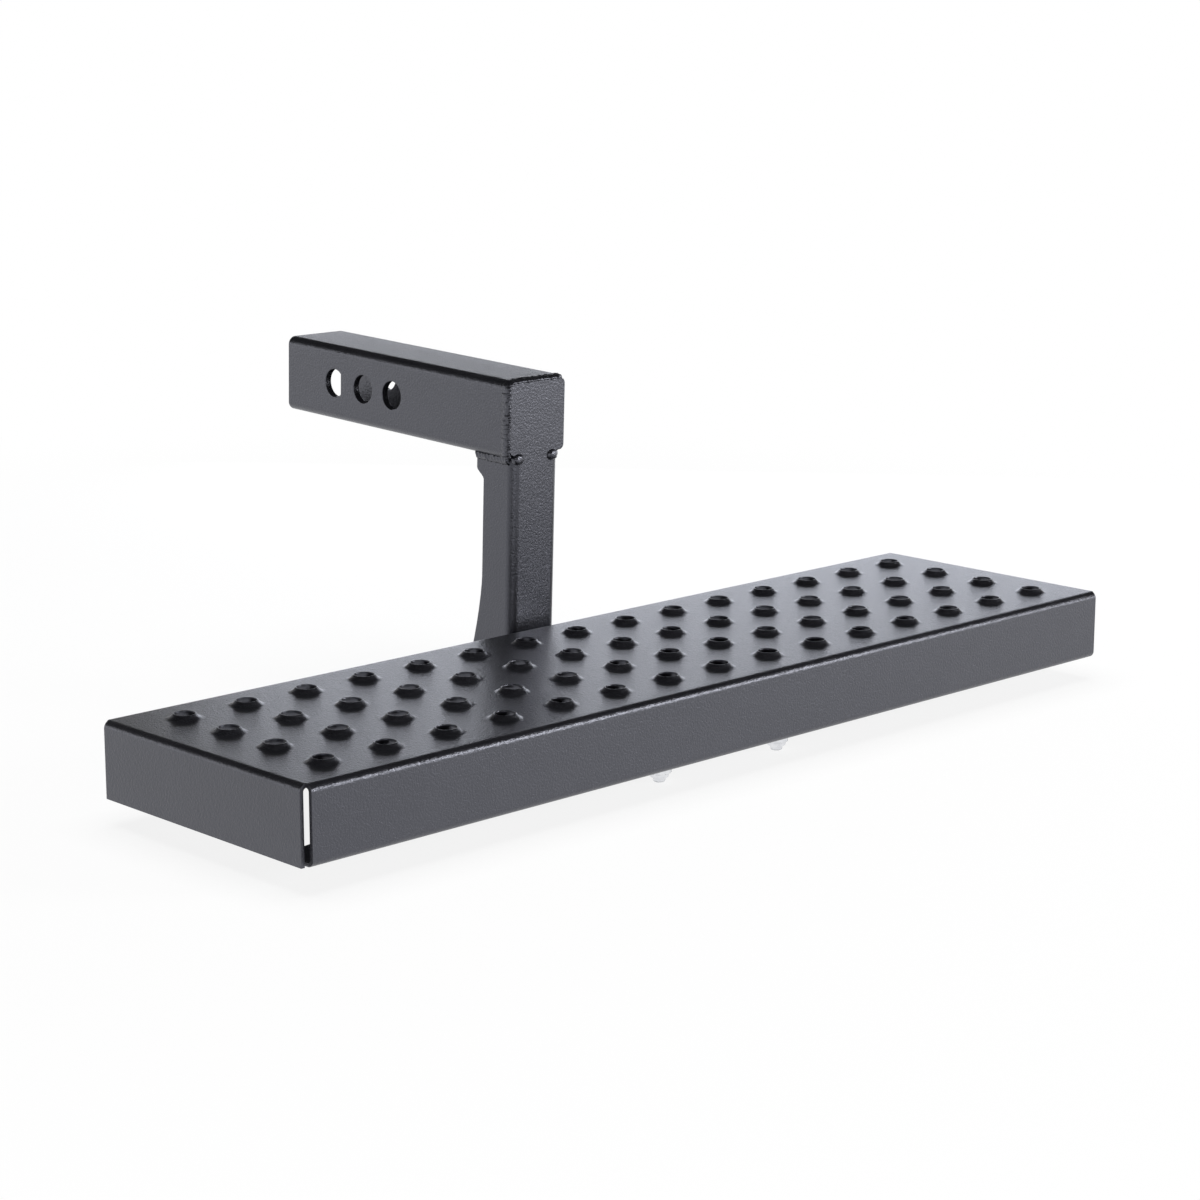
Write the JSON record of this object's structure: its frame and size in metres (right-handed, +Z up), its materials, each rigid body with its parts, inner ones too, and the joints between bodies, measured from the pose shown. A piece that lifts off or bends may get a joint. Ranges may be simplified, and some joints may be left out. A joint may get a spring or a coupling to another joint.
{
  "type": "hitch receiver step",
  "caption": "Steel step with a pierced, studded tread pan bolted to a welded bracket whose open square bar slides into a vehicle's receiver tube.",
  "frame": {"origin": "on the square bar's axis, at the middle of the pin hole nearest the vehicle", "axes": "+X along that pin hole and along the tread, +Y level towards the vehicle, +Z up; the bar leans 2 degrees so that its open end stands higher, and the tread is level"},
  "size_m": [0.69, 0.4199, 0.231],
  "materials": {
    "powder_coat": "satin, fine texture",
    "zinc_plate": "bright zinc plate",
    "nylon": "satin"
  },
  "bodies": {
    "root": {"step_pan": "powder_coat", "receiver_bar": "powder_coat", "upright": "powder_coat", "foot_plate": "powder_coat", "bar_end_weld": "powder_coat", "seam_weld_left": "powder_coat", "seam_weld_right": "powder_coat", "relief_weld_left": "powder_coat", "relief_weld_right": "powder_coat", "foot_weld_front": "powder_coat", "foot_weld_left": "powder_coat", "foot_weld_right": "powder_coat", "hex_bolts": "zinc_plate", "head_washers": "zinc_plate", "lock_nuts": "zinc_plate", "nut_inserts": "nylon"}
  },
  "joints": []
}
